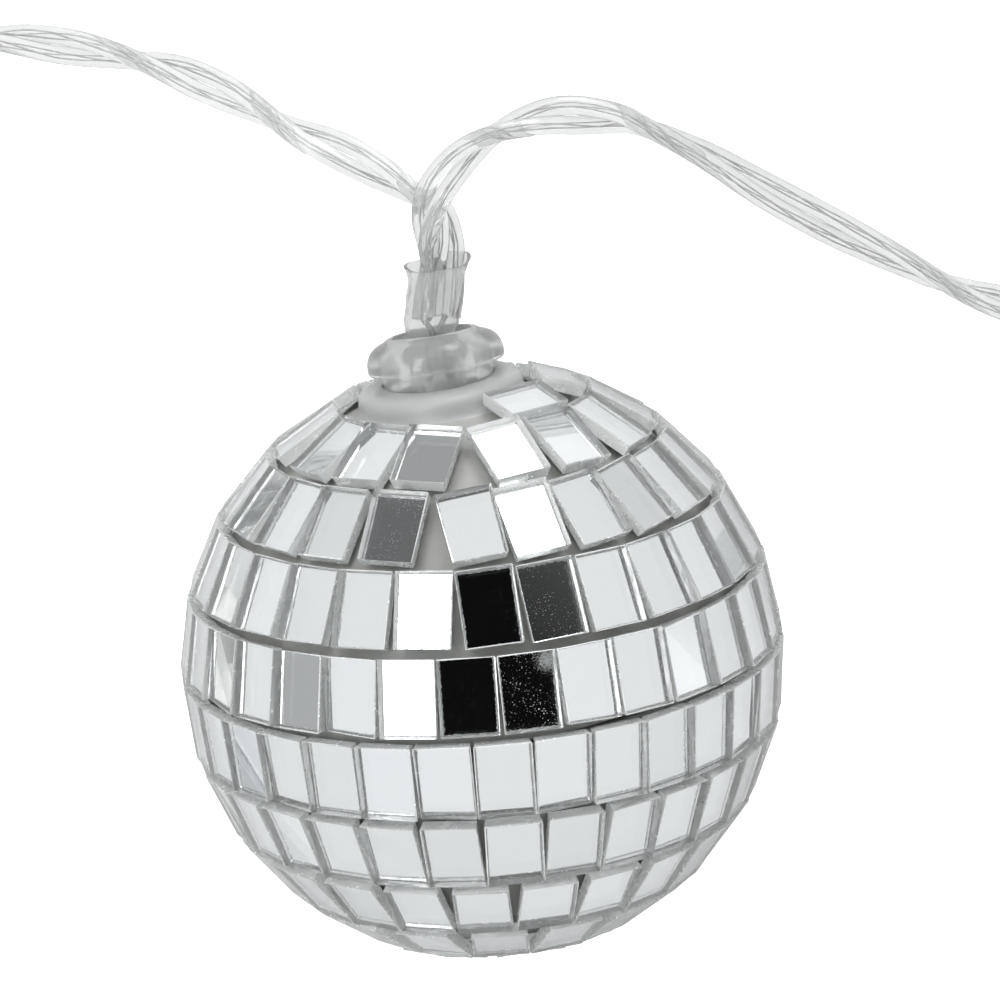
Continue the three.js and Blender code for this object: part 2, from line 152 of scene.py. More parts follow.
def addBump(nodes, links, shader, height, strength, distance):
    bump = addNode(nodes, "ShaderNodeBump", Strength=strength, Distance=distance)
    links.new(height, bump.inputs["Height"])
    links.new(bump.outputs["Normal"], shader.inputs["Normal"])


def noiseTexture(nodes, links, scale, detail, roughness=0.5, coordinates=None):
    texture = addNode(nodes, "ShaderNodeTexNoise", Scale=scale, Detail=detail, Roughness=roughness)
    if coordinates is None:
        coordinates = objectCoordinates(nodes)
    links.new(coordinates, texture.inputs["Vector"])
    return texture.outputs["Fac"]


def mapRange(nodes, links, source, fromLow, fromHigh, low, high, **settings):
    node = addNode(
        nodes,
        "ShaderNodeMapRange",
        From_Min=fromLow,
        From_Max=fromHigh,
        To_Min=low,
        To_Max=high,
        **settings,
    )
    links.new(source, node.inputs["Value"])
    return node.outputs["Result"]


def rampColours(nodes, links, source, stops):
    ramp = nodes.new("ShaderNodeValToRGB")
    elements = ramp.color_ramp.elements
    while len(elements) < len(stops):
        elements.new(0.5)
    for element, (position, colour) in zip(elements, stops):
        element.position = position
        element.color = colour
    links.new(source, ramp.inputs["Fac"])
    return ramp


def colourFrom(nodes, links, shader, source, low, high):
    # the base colour goes from one colour to another with a texture
    tone = rampColours(nodes, links, source, [(0.3, (*low, 1)), (0.7, (*high, 1))])
    links.new(tone.outputs["Color"], shader.inputs["Base Color"])


def roughnessFrom(nodes, links, shader, source, low, high, fromLow=0.0, fromHigh=1.0):
    rough = mapRange(nodes, links, source, fromLow, fromHigh, low, high)
    links.new(rough, shader.inputs["Roughness"])


def drawOutline(name, points):
    # an outline of (radius, height) points in mm: one vertex, extruded from point to point
    deselect()
    bpy.ops.mesh.primitive_plane_add(size=mm)
    piece = bpy.context.object
    piece.name = name
    bpy.ops.object.mode_set(mode="EDIT")
    bpy.ops.mesh.merge(type="CENTER")
    places = [Vector((radius * mm, 0, height * mm)) for radius, height in points]
    bpy.ops.transform.translate(value=places[0])
    for before, after in zip(places, places[1:]):
        bpy.ops.mesh.extrude_region_move(TRANSFORM_OT_translate={"value": after - before})
    bpy.ops.object.mode_set(mode="OBJECT")
    return piece


def turned(name, points, segments, matrix=None, closed=False):
    # the outline turned round Z, like work on a lathe
    outline = points + [points[0]] if closed else points
    piece = drawOutline(name, outline)
    bpy.ops.object.mode_set(mode="EDIT")
    bpy.ops.mesh.select_all(action="SELECT")
    bpy.ops.mesh.spin(steps=segments, angle=math.tau, center=(0, 0, 0), axis=(0, 0, 1))
    bpy.ops.mesh.select_all(action="SELECT")
    bpy.ops.mesh.remove_doubles(threshold=0.002 * mm)
    bpy.ops.mesh.normals_make_consistent(inside=False)
    bpy.ops.object.mode_set(mode="OBJECT")
    bpy.ops.object.shade_smooth_by_angle(angle=math.radians(40))
    if matrix is not None:
        piece.data.transform(matrix)
    return piece


def arcPoints(across, height, radius, fromDegrees, toDegrees, steps):
    points = []
    for step in range(steps + 1):
        angle = math.radians(fromDegrees + (toDegrees - fromDegrees) * step / steps)
        points.append((across + radius * math.cos(angle), height + radius * math.sin(angle)))
    return points


def joinPieces(name, copies):
    deselect()
    for copy in copies:
        copy.select_set(True)
    bpy.context.view_layer.objects.active = copies[0]
    if len(copies) > 1:
        bpy.ops.object.join()
    piece = bpy.context.object
    piece.name = name
    piece.data.name = name
    return piece


def cover(piece, *materials):
    piece.data.materials.clear()
    for material in materials:
        piece.data.materials.append(material)


def settle(piece, body, slot, *nodes):
    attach(piece, body)
    if nodes:
        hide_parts(*nodes)


# leads: two clear strands twisted together, each with a few silvery wires in it

leadLayout = {
    "diameter": 3.2,
    "strandFill": 0.985,  # a strand's radius as a share of the room it has
    "twistLength": 26.0,
    "spacing": 0.8,  # between the points of a lead's line
    "wireRadius": 0.042,
    "wireSpread": 0.15,
    "wiresPerStrand": 3,
    "wireLay": 24.0,  # the wires turn round each other once in this length
    "coilCentre": (-64.0, 44.5),
    "coilRadius": 5.45,  # in diameters of the lead
    "coilTurns": 3,
    "coilPointsPerTurn": 20,
    "inwardTurns": (0.86, 0.99),  # where the line goes over to the inner turn
    "liftedTurns": (1.76, 1.93),  # and where it climbs on top
    "stacked": 0.86,  # how much higher it then lies, in diameters
    # how far along each lead one strand lies right over the other, in mm
    "feedCrossings": [-7, 10.6, 24.8, 41.1, 62],
    "runOnCrossings": [6.2, 17.7, 30.2, 66.3, 88],
}

feedRoute = [
    (2.5, 35.1, 35.9), (1.7, 36.1, 35.9), (0.5, 37.1, 35.9), (-1.2, 38.7, 35.8),
    (-4.7, 41.7, 35.0), (-7.6, 44.0, 33.8), (-11.1, 47.4, 31.6), (-14.4, 50.4, 29.0),
    (-17.8, 53.3, 26.0), (-21.8, 55.9, 22.2), (-25.9, 58.3, 18.0), (-31.1, 61.1, 13.0),
    (-36.5, 62.6, 8.5), (-42.0, 63.6, 5.2), (-47.5, 64.0, 3.1), (-51.8, 64.0, 2.2),
]
tailRoute = [
    (-78.9, 62.2, 3.6), (-82.9, 57.8, 2.5), (-85.7, 52.4, 1.8), (-87.0, 46.5, 1.6),
    (-86.8, 40.5, 1.6), (-84.9, 34.7, 1.8), (-82.5, 30.6, 2.5), (-79.9, 27.2, 3.3),
    (-78.6, 25.0, 3.8), (-78.3, 22.8, 4.0),
]
runOnRoute = [
    (1.1, 34.7, 39.1), (1.7, 35.8, 39.8), (2.4, 36.7, 40.2), (3.4, 37.6, 40.4),
    (4.6, 38.5, 40.5), (6.1, 39.3, 40.5), (7.9, 40.0, 40.4), (10.4, 40.5, 40.2),
    (12.9, 40.6, 39.9), (16.1, 40.1, 39.1), (18.9, 39.3, 38.1), (24.1, 36.6, 35.2),
    (29.0, 33.6, 31.5), (32.8, 31.5, 28.3), (36.8, 29.5, 24.6), (41.4, 27.3, 20.3),
    (46.1, 25.1, 16.0), (51.0, 23.5, 12.0), (55.8, 22.1, 8.3), (60.0, 21.0, 5.1),
    (63.6, 20.3, 3.0), (67.6, 20.0, 2.2),
]


def easeBetween(value, low, high):
    share = min(max((value - low) / (high - low), 0.0), 1.0)
    return share * share * (3 - 2 * share)


tailLayout = {
    "settlesFrom": 22.0,  # a height along the neck's axis
    "leavesNeck": 27.5,
    "freeLength": 5.6,
    "neckAcross": -0.03,  # where its middle leaves the neck
    "neckBehind": 0.3,
    "leanAcross": 1.41,  # how far it leans from there at the end of its free length
    "leanBehind": 0.65,
    "curl": 1.1,
}


def tailOffset(height):
    # the lamp's tail leans over where it leaves the neck: its middle, across and behind, in mm
    layout = tailLayout
    settled = easeBetween(height, layout["settlesFrom"], layout["leavesNeck"])
    beyond = max(height - layout["leavesNeck"], 0) / layout["freeLength"]
    across = layout["leanAcross"] * beyond ** layout["curl"] + layout["neckAcross"] * settled
    behind = layout["neckBehind"] * settled + layout["leanBehind"] * beyond
    return Vector((across, behind, 0))


def inTail(across, behind, height):
    # a place beside the tail's middle, in mm in the world
    place = tailOffset(height) + Vector((across, behind, height))
    return tuple((neckMatrix @ (place * mm)) / mm)


# inside the sleeve the two leads lie side by side
feedStart = [
    inTail(0.8, 0.05, 28.9), inTail(0.85, 0.05, 31),
    (2.1, 31.2, 35.5), (2.45, 32.5, 35.7), (2.55, 33.8, 35.8),
]
runOnStart = [
    inTail(-0.8, -0.05, 28.9), inTail(-0.75, -0.05, 31),
    (0.8, 31.3, 36.0), (0.7, 32.6, 37.1), (0.8, 33.7, 38.2),
]


def coilPoints(layout):
    # an outer turn and an inner turn on the table, and the last turn on top between them
    points = []
    diameter = layout["diameter"]
    outer = layout["coilRadius"] * diameter + diameter / 2
    perTurn = layout["coilPointsPerTurn"]
    for index in range(layout["coilTurns"] * perTurn + 1):
        turnsDone = index / perTurn
        inward = easeBetween(turnsDone, *layout["inwardTurns"])
        lifted = easeBetween(turnsDone, *layout["liftedTurns"])
        radius = outer - diameter * inward + diameter / 2 * lifted
        height = diameter / 2 + layout["stacked"] * diameter * lifted
        angle = math.pi / 2 + math.tau * turnsDone
        x = layout["coilCentre"][0] + radius * math.cos(angle)
        y = layout["coilCentre"][1] + radius * math.sin(angle)
        points.append((x, y, height))
    return points


def smoothRoute(points, spacing):
    # a smooth line through the given points, with a new point every spacing millimetres
    stepsPerSpan = 24
    places = [Vector(point) for point in points]
    ends = [2 * places[0] - places[1]] + places + [2 * places[-1] - places[-2]]
    fine = []
    for before, start, end, after in zip(ends, ends[1:], ends[2:], ends[3:]):
        for step in range(stepsPerSpan):
            t = step / stepsPerSpan
            linear = (end - before) * t
            square = (2 * before - 5 * start + 4 * end - after) * t**2
            cubic = (3 * start - before - 3 * end + after) * t**3
            fine.append(0.5 * (2 * start + linear + square + cubic))
    fine.append(places[-1])
    line = [fine[0]]
    travelled = 0.0
    for before, after in zip(fine, fine[1:]):
        travelled += (after - before).length
        if travelled >= spacing:
            line.append(after)
            travelled = 0.0
    line.append(fine[-1])
    return line


def routeLength(line):
    return sum((after - before).length for before, after in zip(line, line[1:]))


def seenFrames(line):
    # at each point, a direction across the line as the camera sees it and one towards the camera
    frames = []
    for index in range(len(line)):
        tangent = (line[min(index + 1, len(line) - 1)] - line[max(index - 1, 0)]).normalized()
        side = tangent.cross(cameraBack).normalized()
        frames.append((side, side.cross(tangent)))
    return frames


def crossingTurns(line, crossings, spacing):
    # half a turn from each place where one strand lies over the other to the next
    overTurn = -0.25
    marks = list(crossings)
    while marks[-1] <= routeLength(line):
        marks.append(marks[-1] + spacing)
    travelled = 0.0
    turns = []
    for before, after in zip([line[0]] + line, line):
        travelled += (after - before).length
        passed = sum(mark <= travelled for mark in marks)
        if passed == 0:
            turns.append(overTurn)
        else:
            low, high = marks[passed - 1], marks[passed]
            turns.append(overTurn - 0.5 * (passed - 1 + (travelled - low) / (high - low)))
    return turns


def helixRound(line, radius, turnsAt):
    return [
        point + (side * math.cos(math.tau * turns) + up * math.sin(math.tau * turns)) * radius
        for point, (side, up), turns in zip(line, seenFrames(line), turnsAt)
    ]


def tubeAlong(name, line, radius, roundness, material):
    # a path curve with its points set, given a round section and made a mesh
    deselect()
    bpy.ops.curve.primitive_nurbs_path_add(radius=mm)
    tube = bpy.context.object
    tube.name = name
    curve = tube.data
    curve.splines.clear()
    spline = curve.splines.new("POLY")
    spline.points.add(len(line) - 1)
    for point, place in zip(spline.points, line):
        point.co = (place.x * mm, place.y * mm, place.z * mm, 1)
    curve.dimensions = "3D"
    curve.bevel_depth = radius * mm
    curve.bevel_resolution = roundness
    curve.use_fill_caps = True
    bpy.ops.object.convert(target="MESH")
    tube = bpy.context.object
    bpy.ops.object.shade_smooth()
    cover(tube, material)
    return tube


def twistedPair(name, line, crossings, layout):
    strandRadius = layout["diameter"] / 4
    turnsAt = crossingTurns(line, crossings, layout["twistLength"] / 2)
    perPoint = routeLength(line) / len(line) / layout["wireLay"]
    along = [index * perPoint for index in range(len(line))]
    tubes = []
    for strand in (0, 0.5):
        strandLine = helixRound(line, strandRadius, [turns + strand for turns in turnsAt])
        fullRadius = strandRadius * layout["strandFill"]
        tubes.append(tubeAlong(name, strandLine, fullRadius, 4, clearStrand))
        for wire in range(layout["wiresPerStrand"]):
            share = wire / layout["wiresPerStrand"] + strand / 5
            wireTurns = [turns + share for turns in along]
            wireLine = helixRound(strandLine, layout["wireSpread"], wireTurns)
            tubes.append(tubeAlong(name, wireLine, layout["wireRadius"], 1, silveryWire))
    return joinPieces(name, tubes)


clearStrand, nodes, links, shader = newMaterial(
    "clearStrand", Base_Color=(0.91, 0.918, 0.914, 1), IOR=1.42, Transmission_Weight=0.86
)
haze = noiseTexture(nodes, links, 420, 4)
roughnessFrom(nodes, links, shader, haze, 0.03, 0.14)
ripple = noiseTexture(nodes, links, 260, 2)
addBump(nodes, links, shader, ripple, 0.25, 0.0002)

silveryWire, nodes, links, shader = newMaterial("silveryWire", Roughness=0.42, Metallic=0.35)
strands = noiseTexture(nodes, links, 900, 2)
colourFrom(nodes, links, shader, strands, (0.62, 0.62, 0.6), (0.97, 0.97, 0.95))

feedPoints = feedStart + feedRoute + coilPoints(leadLayout) + tailRoute
feedLine = smoothRoute(feedPoints, leadLayout["spacing"])
runOnLine = smoothRoute(runOnStart + runOnRoute, leadLayout["spacing"])
feedLead = twistedPair("feedLead", feedLine, leadLayout["feedCrossings"], leadLayout)
runOnLead = twistedPair("runOnLead", runOnLine, leadLayout["runOnCrossings"], leadLayout)
feedNodes = ("feed_cord", "feed_cord_coil", "feed_cord_tail", "wire_end_1", "wire_end_2")
settle(feedLead, "lamp", "clear_cord", *feedNodes)
settle(runOnLead, "lamp", "clear_cord", "run_on_cord", "wire_end_3", "wire_end_4")
print("leads made:", round(routeLength(feedLine)), "and", round(routeLength(runOnLine)), "mm")


# mirrors: clear glass blocks with a silvered back, laid by hand in rows

mirrorLayout = {
    "width": 4.54,  # at the face; the block narrows to its silvered back
    "height": 6.12,
    "backWidth": 4.22,
    "backHeight": 5.92,
    "thickness": 1.14,
    "bevel": 0.07,
    "seed": 11,
    "topLevel": 5,  # rows are counted from the one on the table, level 0, up to the neck
    "bottomLevel": -3,
    "nominalWidth": 4.3,  # what a mirror takes of its row, with half the height of its narrow side
    "halfHeight": 3.0,
    "stripTurnGap": 0.36,
    # by level: degrees kept free at the seam when a row's mirrors are counted, degrees left open
    # there, and where round the ball the seam is
    "seamTurn": {5: 3, 4: 3, -3: 3},
    "openSeam": {5: 3, 4: 3, 3: 0.4, -3: 3},
    "rowStart": {5: 11.25, 4: -3.25, 3: -1.25, 2: 4.75, 1: -1, -1: -7.75, -2: -4.75, -3: 10},
    "tilt": 0.8,  # how unevenly they are stuck down, in degrees
    "lean": 0.8,
    "steadyShare": 0.15,  # how much of that the steady ones get
    "frontJitter": 0.04,  # how unevenly they were cut
    "backJitter": 0.02,
    "mostDirt": 0.42,
    "chippedShare": 0.25,
    "chipSize": (0.1, 0.3),
    "chipCorner": (1.9, 2.7),  # what lies beyond this, across and along, is the corner
    "chipDepth": 0.3,
    "chipSlope": 0.6,
    "crownSize": (5.9, 3.8),  # the two laid sideways beside the neck
    "crownLatitude": 71.2,
    "crownTurns": (36, 96),
    "baseNarrower": 0.2,  # the two that close the bottom
    "baseAside": 2.3,
    "baseDirt": 0.2,
}


def pick(nodes, links, mask, without, within):
    # one value or colour where the mask is 0 and the other where it is 1
    mix = addNode(nodes, "ShaderNodeMix", data_type="RGBA")
    links.new(mask, mix.inputs["Factor"])
    for socket, source in ((mix.inputs[6], without), (mix.inputs[7], within)):
        if isinstance(source, tuple):
            socket.default_value = source
        else:
            links.new(source, socket)
    return mix.outputs[2]


def combine(nodes, links, operation, first, second):
    node = addNode(nodes, "ShaderNodeMath", operation=operation)
    for socket, source in zip(node.inputs, (first, second)):
        if isinstance(source, (int, float)):
            socket.default_value = source
        else:
            links.new(source, socket)
    return node.outputs["Value"]


def silverMaterial(layout):
    material, nodes, links, shader = newMaterial("mirrorSilver")
    tone = addNode(nodes, "ShaderNodeAttribute", attribute_name="mirrorTone")
    dirt = addNode(nodes, "ShaderNodeAttribute", attribute_name="mirrorDirt")
    shade = rampColours(
        nodes, links, tone.outputs["Fac"], [(0, (0.885, 0.9, 0.9, 1)), (1, (0.94, 0.955, 0.965, 1))]
    )
    flat = addNode(nodes, "ShaderNodeUVMap", uv_map="blockPlace")
    split = nodes.new("ShaderNodeSeparateXYZ")
    links.new(flat.outputs["UV"], split.inputs["Vector"])
    fromMiddle = [combine(nodes, links, "ABSOLUTE", split.outputs[axis], 0) for axis in ("X", "Y")]
    toSide = combine(nodes, links, "SUBTRACT", layout["backWidth"] / 2, fromMiddle[0])
    toEnd = combine(nodes, links, "SUBTRACT", layout["backHeight"] / 2, fromMiddle[1])
    toEdge = combine(nodes, links, "MINIMUM", toSide, toEnd)
    nibbles = noiseTexture(nodes, links, 4200, 4, 0.75)
    bite = mapRange(nodes, links, nibbles, 0.42, 0.78, 0.035, 0.24)
    border = combine(nodes, links, "LESS_THAN", toEdge, bite)

    specks = addNode(nodes, "ShaderNodeTexVoronoi", Scale=5200.0, Randomness=1.0)
    links.new(objectCoordinates(nodes), specks.inputs["Vector"])
    patches = noiseTexture(nodes, links, 420, 4)
    thick = mapRange(nodes, links, patches, 0.4, 0.72, 0.07, 0.32)
    size = combine(nodes, links, "MULTIPLY", thick, dirt.outputs["Fac"])
    speckled = combine(nodes, links, "LESS_THAN", specks.outputs["Distance"], size)
    dusty = noiseTexture(nodes, links, 7000, 3, 0.6)
    dustiest = combine(nodes, links, "GREATER_THAN", dusty, 0.7)
    dusted = combine(nodes, links, "GREATER_THAN", dirt.outputs["Fac"], 0.45)
    grain = combine(nodes, links, "MULTIPLY", dustiest, dusted)

    # one very dirty mirror has a smear over its corner
    corner = addNode(nodes, "ShaderNodeVectorMath", operation="DISTANCE")
    links.new(flat.outputs["UV"], corner.inputs[0])
    corner.inputs[1].default_value = (1.7, 2.2, 0)
    scratches = addNode(nodes, "ShaderNodeMapping")
    scratches.inputs["Rotation"].default_value = (0, 0, 0.9)
    scratches.inputs["Scale"].default_value = (3, 16, 1)
    links.new(flat.outputs["UV"], scratches.inputs["Vector"])
    scratched = noiseTexture(nodes, links, 1.3, 5, 0.7, scratches.outputs["Vector"])
    wideReach = combine(nodes, links, "MULTIPLY", scratched, 5.0)
    reach = combine(nodes, links, "SUBTRACT", wideReach, 1.9)
    reached = combine(nodes, links, "LESS_THAN", corner.outputs["Value"], reach)
    dirtiest = combine(nodes, links, "GREATER_THAN", dirt.outputs["Fac"], 0.95)
    smear = combine(nodes, links, "MULTIPLY", reached, dirtiest)

    worn = border
    for mark in (speckled, grain, smear):
        worn = combine(nodes, links, "MAXIMUM", worn, mark)
    for socket, clean, dull in (
        ("Base Color", shade.outputs["Color"], (0.78, 0.79, 0.79, 1)),
        ("Roughness", (0.02, 0.02, 0.02, 1), (0.6, 0.6, 0.6, 1)),
        ("Metallic", (1, 1, 1, 1), (0.15, 0.15, 0.15, 1)),
    ):
        links.new(pick(nodes, links, worn, clean, dull), shader.inputs[socket])
    return material


def glassFaceMaterial():
    material, nodes, links, shader = newMaterial(
        "mirrorGlassFace",
        Base_Color=(0.98, 0.992, 0.99, 1),
        Roughness=0.0,
        IOR=1.52,
        Transmission_Weight=1.0,
    )
    wave = noiseTexture(nodes, links, 90, 1)
    addBump(nodes, links, shader, wave, 0.02, 0.0004)
    return material


def glassEdgeMaterial():
    material, nodes, links, shader = newMaterial(
        "mirrorGlassEdge", Base_Color=(0.97, 0.985, 0.975, 1), IOR=1.52, Transmission_Weight=0.62
    )
    chips = noiseTexture(nodes, links, 900, 5, 0.65)
    roughnessFrom(nodes, links, shader, chips, 0.02, 0.4, 0.35, 0.7)
    addBump(nodes, links, shader, chips, 0.35, 0.0002)
    return material


mirrorMaterials = (glassFaceMaterial(), glassEdgeMaterial(), silverMaterial(mirrorLayout))


def modelMirror(layout, width, height):
    # one block facing -Y, narrower at its back, with its face at the ball's face radius
    deselect()
    thickness = layout["thickness"]
    middle = ballLayout["faceRadius"] - thickness / 2
    bpy.ops.mesh.primitive_cube_add(size=1, location=(0, -middle * mm, 0))
    block = bpy.context.object
    block.name = "mirrorBlock"
    block.scale = (width * mm, thickness * mm, height * mm)
    bpy.ops.object.transform_apply(location=True, rotation=True, scale=True)
    cover(block, *mirrorMaterials)
    for polygon in block.data.polygons:
        polygon.material_index = round(polygon.normal.y) + 1  # the face, an edge or the silver
    for part in (*block.data.polygons, *block.data.edges):
        part.select = False
    for vertex in block.data.vertices:
        vertex.select = vertex.co.y > -middle * mm
    bpy.ops.object.mode_set(mode="EDIT")
    bpy.ops.mesh.select_mode(type="VERT")
    backWidth = width - layout["width"] + layout["backWidth"]
    backHeight = height - layout["height"] + layout["backHeight"]
    bpy.ops.transform.resize(value=(backWidth / width, 1, backHeight / height))
    bpy.ops.mesh.select_all(action="SELECT")
    bpy.ops.mesh.bevel(offset=layout["bevel"] * mm, segments=1, affect="EDGES", material=1)
    bpy.ops.object.mode_set(mode="OBJECT")
    flat = block.data.uv_layers.new(name="blockPlace")
    for loop in block.data.loops:
        place = block.data.vertices[loop.vertex_index].co
        across, along = (place.x, place.z) if height > width else (place.z, place.x)
        flat.data[loop.index].uv = (across / mm, along / mm)
    return block


def copyMirror(block, matrix, tone, dirt, layout, chipped):
    # a copy with its own mesh: its edges were cut by hand, so no two are quite alike
    copy = block.copy()
    copy.data = block.data.copy()
    bpy.context.collection.objects.link(copy)
    faceY = -(ballLayout["faceRadius"] - layout["bevel"] / 2) * mm
    for vertex in copy.data.vertices:
        spread = layout["frontJitter"] if vertex.co.y < faceY else layout["backJitter"]
        vertex.co.x += random.uniform(-spread, spread) * mm
        vertex.co.z += random.uniform(-spread, spread) * mm
    if chipped:
        right, top = random.choice([(-1, -1), (-1, 1), (1, -1), (1, 1)])
        bite = random.uniform(*layout["chipSize"])
        across, along = layout["chipCorner"]
        for vertex in copy.data.vertices:
            atCorner = vertex.co.x * right > across * mm and vertex.co.z * top > along * mm
            if atCorner and vertex.co.y < faceY + layout["chipDepth"] * mm:
                vertex.co.x -= right * bite * mm
                vertex.co.z -= top * bite * mm
                vertex.co.y += bite * layout["chipSlope"] * mm
    for name, value in (("mirrorTone", tone), ("mirrorDirt", dirt)):
        attribute = copy.data.attributes.new(name, "FLOAT", "FACE")
        for entry in attribute.data:
            entry.value = value
    copy.data.transform(matrix)
    return copy


def rowPlan(level, layout):
    # a row's latitude, how far round each of its mirrors lies, and how many are in its first strip
    latitude = ballLayout["restingLatitude"] + level * ballLayout["rowPitch"]
    lean = math.radians(abs(latitude))
    radius = ballLayout["backRadius"] * math.cos(lean) - layout["halfHeight"] * math.sin(lean)
    mirrorTurn = math.degrees(2 * math.atan(layout["nominalWidth"] / 2 / radius))
    stripTurn = math.degrees(layout["stripTurnGap"] / radius)
    freeTurn = 360 - layout["seamTurn"].get(level, 1) - 2 * stripTurn
    count = int(freeTurn // mirrorTurn)
    pitch = (360 - layout["openSeam"].get(level, 0)) / count
    perStrip = math.ceil(count / 2)
    start = 180 - count // 2 * pitch if level == 0 else layout["rowStart"][level]
    return latitude, [start + index * pitch for index in range(count)], perStrip


# how single mirrors sit near the seam, by level and by number to the right of it: slid along the
# row, and leaning with the top to the right, in degrees
handLaid = {
    5: {
        0: (0, -9), 1: (-2, 2), 2: (-2, 0), -1: (0, 6), -2: (4.5, 0), -3: (9, 0), -4: (7, 0),
        -5: (4, 0), -6: (2, 0),
    },
    4: {
        0: (-0.25, -9), 1: (-1.7, -5), 2: (-2.2, -3), 3: (-3, -6), 4: (-4, 0), 5: (-3.5, 0),
        6: (-2.5, 0), 7: (-1.5, 0), 8: (-0.8, 0), -1: (-0.5, 3), -2: (-1, 0),
    },
    3: {0: (0, -3), 1: (0, -2), -1: (0, 1)},
}
# those that are stuck down evenly, and those with more or less dirt than the others may have
steady = {4: (0, 1, -1), 3: (0, 1, -1, -2), 2: (0, -1, -2), 1: (0, -1)}
speckledMirrors = {(3, 1): 0.9, (2, 0): 1.0, (4, -1): 0.7, (3, 0): 0.3, (2, -1): 0.3}


def layMirror(block, level, index, count, latitude, longitude, layout):
    near = index if index <= count // 2 else index - count
    slide, lean = handLaid.get(level, {}).get(near, (0, 0))
    unevenness = layout["steadyShare"] if near in steady.get(level, ()) else 1.0
    lean += random.uniform(-1, 1) * layout["lean"] * unevenness
    up = random.uniform(-1, 1) * layout["tilt"] * unevenness
    right = random.uniform(-1, 1) * layout["tilt"] * unevenness
    pivot = Vector((0, -ballLayout["backRadius"] * mm, 0))
    tilt = Matrix.Rotation(math.radians(up), 4, "X") @ Matrix.Rotation(math.radians(right), 4, "Z")
    tilt = Matrix.Translation(pivot) @ tilt @ Matrix.Translation(-pivot)
    matrix = (
        rowMatrix
        @ Matrix.Rotation(math.radians(longitude + slide), 4, "Z")
        @ Matrix.Rotation(math.radians(-latitude), 4, "X")
        @ Matrix.Rotation(math.radians(lean), 4, "Y")
        @ tilt
    )
    dirt = speckledMirrors.get((level, near), random.uniform(0, layout["mostDirt"]))
    tone = random.random()
    chipped = random.random() < layout["chippedShare"]
    return copyMirror(block, matrix, tone, dirt, layout, chipped)


def layStrips(level, layout, block):
    latitude, turns, perStrip = rowPlan(level, layout)
    rowNumber = layout["topLevel"] + 1 - level
    copies = [
        layMirror(block, level, index, len(turns), latitude, turn, layout)
        for index, turn in enumerate(turns)
    ]
    for strip, part in enumerate((copies[:perStrip], copies[perStrip:]), 1):
        piece = joinPieces(f"mirrorRow{rowNumber}Strip{strip}", part)
        settle(piece, "ball", "mirror_glass", f"mirror_row_{rowNumber}_strip_{strip}")
    return len(copies)


def layRows(layout):
    random.seed(layout["seed"])
    block = modelMirror(layout, layout["width"], layout["height"])
    total = 0
    for level in range(layout["topLevel"], layout["bottomLevel"] - 1, -1):
        total += layStrips(level, layout, block)
    bpy.data.objects.remove(block)

    sideways = modelMirror(layout, *layout["crownSize"])
    level = 9  # above every row, so that no row's own settings go for these
    turns = layout["crownTurns"]
    for number, turn in enumerate(turns, 1):
        copy = layMirror(sideways, level, number, len(turns), layout["crownLatitude"], turn, layout)
        piece = joinPieces(f"crownMirror{number}", [copy])
        settle(piece, "ball", "mirror_glass", f"mirror_crown_{number}")
    bpy.data.objects.remove(sideways)

    last = modelMirror(layout, layout["width"] - layout["baseNarrower"], layout["height"])
    down = rowMatrix @ Matrix.Rotation(math.pi / 2, 4, "X")
    for number, side in enumerate((-1, 1), 1):
        aside = rowMatrix.to_3x3() @ Vector((side * layout["baseAside"] * mm, 0, 0))
        place = Matrix.Translation(aside) @ down
        copy = copyMirror(last, place, random.random(), layout["baseDirt"], layout, False)
        piece = joinPieces(f"baseMirror{number}", [copy])
        settle(piece, "ball", "mirror_glass", f"mirror_base_{number}")
    bpy.data.objects.remove(last)
    return total


print("mirrors laid:", layRows(mirrorLayout))


# shell, with the boss that the grommet turns in

shellLayout = {
    "wall": 1.5,
    "flangeRadius": 6.75,
    "flangeTop": 24.0,
    "collarRadius": 4.66,
    "boreRadius": 4.9,
    "bossRadius": 5.6,
    "bossFloor": 20.9,
    # the flange's rounded side and top, from its foot to its inner edge, by radius and height
    "flangeSide": [(7.15, 21.97), (6.88, 22.25), (6.78, 22.6), (6.75, 23.0), (6.68, 23.3)],
    "flangeShoulder": [(6.5, 23.57), (6.2, 23.8), (5.8, 23.93)],
    "seamHalf": 0.4,  # the gap between the halves, in degrees each way
    "spigotGap": 0.3,
    "spigotWall": 1.0,
    "spigotRise": 3.0,
    "spigotRoot": 3.5,
}

shellPlastic, nodes, links, shader = newMaterial(
    "shellPlastic", Roughness=0.38, IOR=1.5, Transmission_Weight=0.3
)
cloud = noiseTexture(nodes, links, 160, 4)
colourFrom(nodes, links, shader, cloud, (0.44, 0.445, 0.42), (0.58, 0.585, 0.56))
fine = noiseTexture(nodes, links, 700, 3)
addBump(nodes, links, shader, fine, 0.3, 0.0001)

flangePlastic, nodes, links, shader = newMaterial(
    "flangePlastic", IOR=1.47, Transmission_Weight=0.62
)
frost = noiseTexture(nodes, links, 210, 4)
colourFrom(nodes, links, shader, frost, (0.86, 0.872, 0.86), (0.97, 0.977, 0.97))
roughnessFrom(nodes, links, shader, frost, 0.2, 0.45)
addBump(nodes, links, shader, frost, 0.5, 0.0004)


